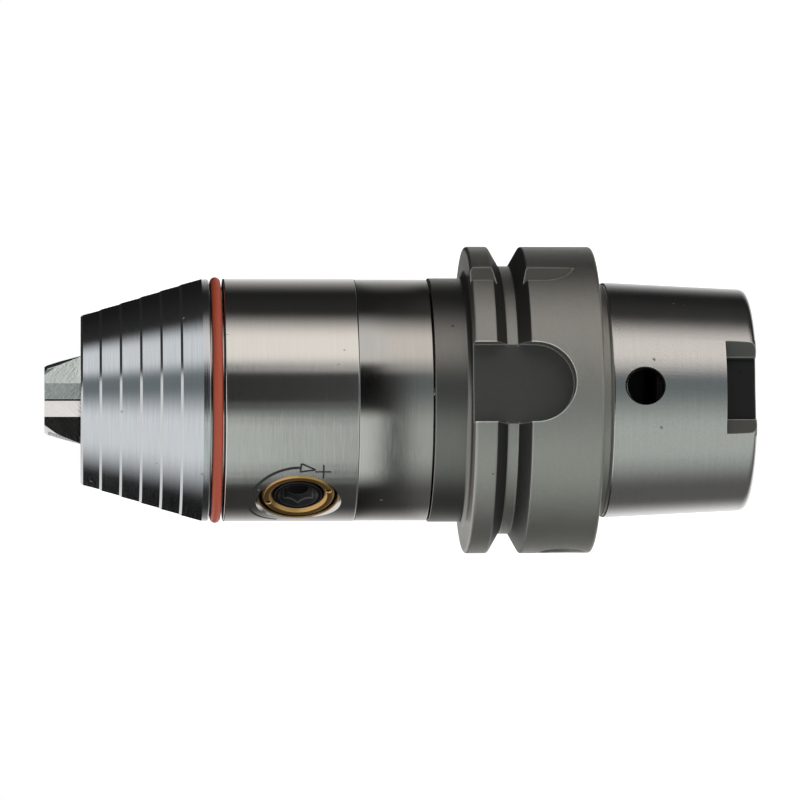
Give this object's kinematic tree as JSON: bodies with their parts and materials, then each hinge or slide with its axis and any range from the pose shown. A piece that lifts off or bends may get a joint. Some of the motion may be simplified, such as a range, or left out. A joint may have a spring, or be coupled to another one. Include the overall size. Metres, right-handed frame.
{
  "type": "drill chuck",
  "caption": "Keyed precision drill chuck with three sliding jaws, stepped steel nose, side hexagon key pinion and a hollow taper shank for CNC spindles.",
  "frame": {"origin": "centre of the shank's end face, where the chuck stands", "axes": "+Z along the chuck's axis towards the jaws; -Y is the side of the 16 mm keyway, the drive slot and the access hole; -X is the side of the data chip pocket"},
  "size_m": [0.063, 0.063, 0.1438],
  "materials": {
    "dark_steel": "satin",
    "ground_steel": "satin",
    "hard_steel": "satin",
    "black_steel": "satin",
    "brass": "satin",
    "red_rubber": "matte",
    "black_rubber": "matte"
  },
  "bodies": {
    "body": {"shank_body": "dark_steel", "gear_housing": "ground_steel", "nose_cone": "ground_steel", "jaw_guide": "hard_steel", "red_seal_ring": "red_rubber", "housing_seal_ring": "black_rubber", "torque_pin_1": "hard_steel", "torque_pin_2": "hard_steel", "torque_pin_3": "hard_steel", "thrust_washer_rear": "hard_steel", "gear_retaining_ring": "black_steel", "pinion_bush": "brass", "pinion_retaining_ring": "brass"},
    "gear_nut": {"ring_gear": "hard_steel", "thrust_washer_front": "hard_steel"},
    "bearing_cage": {"ball_cage": "brass"},
    "pinion": {"key_pinion": "black_steel"},
    "carrier": {"jaw_carrier": "hard_steel", "clamping_spindle": "hard_steel", "carrier_pin": "hard_steel"},
    "jaw_a": {"jaw_1": "hard_steel"},
    "jaw_b": {"jaw_2": "hard_steel"},
    "jaw_c": {"jaw_3": "hard_steel"}
  },
  "joints": [
    {"name": "ring_gear_turn", "type": "hinge", "parent": "body", "child": "gear_nut", "pos_m": [0, 0, 0.08], "axis": [0, 0, 1], "range_deg": [0, 1483]},
    {"name": "bearing_cage_turn", "type": "hinge", "parent": "body", "child": "bearing_cage", "pos_m": [0, 0, 0.0723], "axis": [0, 0, 1], "range_deg": [0, 742]},
    {"name": "key_pinion_turn", "type": "hinge", "parent": "body", "child": "pinion", "pos_m": [0, 0, 0.0925], "axis": [-0.891, -0.454, 0], "range_deg": [0, 4450]},
    {"name": "carrier_slide", "type": "slide", "parent": "body", "child": "carrier", "axis": [0, 0, -1], "range_m": [0, 0.0165]},
    {"name": "jaw_1_slide", "type": "slide", "parent": "body", "child": "jaw_a", "axis": [0.2731, -0.2058, -0.9397], "range_m": [0, 0.01756]},
    {"name": "jaw_2_slide", "type": "slide", "parent": "body", "child": "jaw_b", "axis": [-0.3148, -0.1336, -0.9397], "range_m": [0, 0.01756]},
    {"name": "jaw_3_slide", "type": "slide", "parent": "body", "child": "jaw_c", "axis": [0.0417, 0.3395, -0.9397], "range_m": [0, 0.01756]}
  ],
  "couplings": [
    {"joint": "bearing_cage_turn", "follows": "ring_gear_turn", "ratio": 0.5},
    {"joint": "key_pinion_turn", "follows": "ring_gear_turn", "ratio": 3},
    {"joint": "carrier_slide", "follows": "ring_gear_turn", "m_per_rad": 0.00063662},
    {"joint": "jaw_1_slide", "follows": "ring_gear_turn", "m_per_rad": 0.00067748},
    {"joint": "jaw_2_slide", "follows": "ring_gear_turn", "m_per_rad": 0.00067748},
    {"joint": "jaw_3_slide", "follows": "ring_gear_turn", "m_per_rad": 0.00067748}
  ]
}
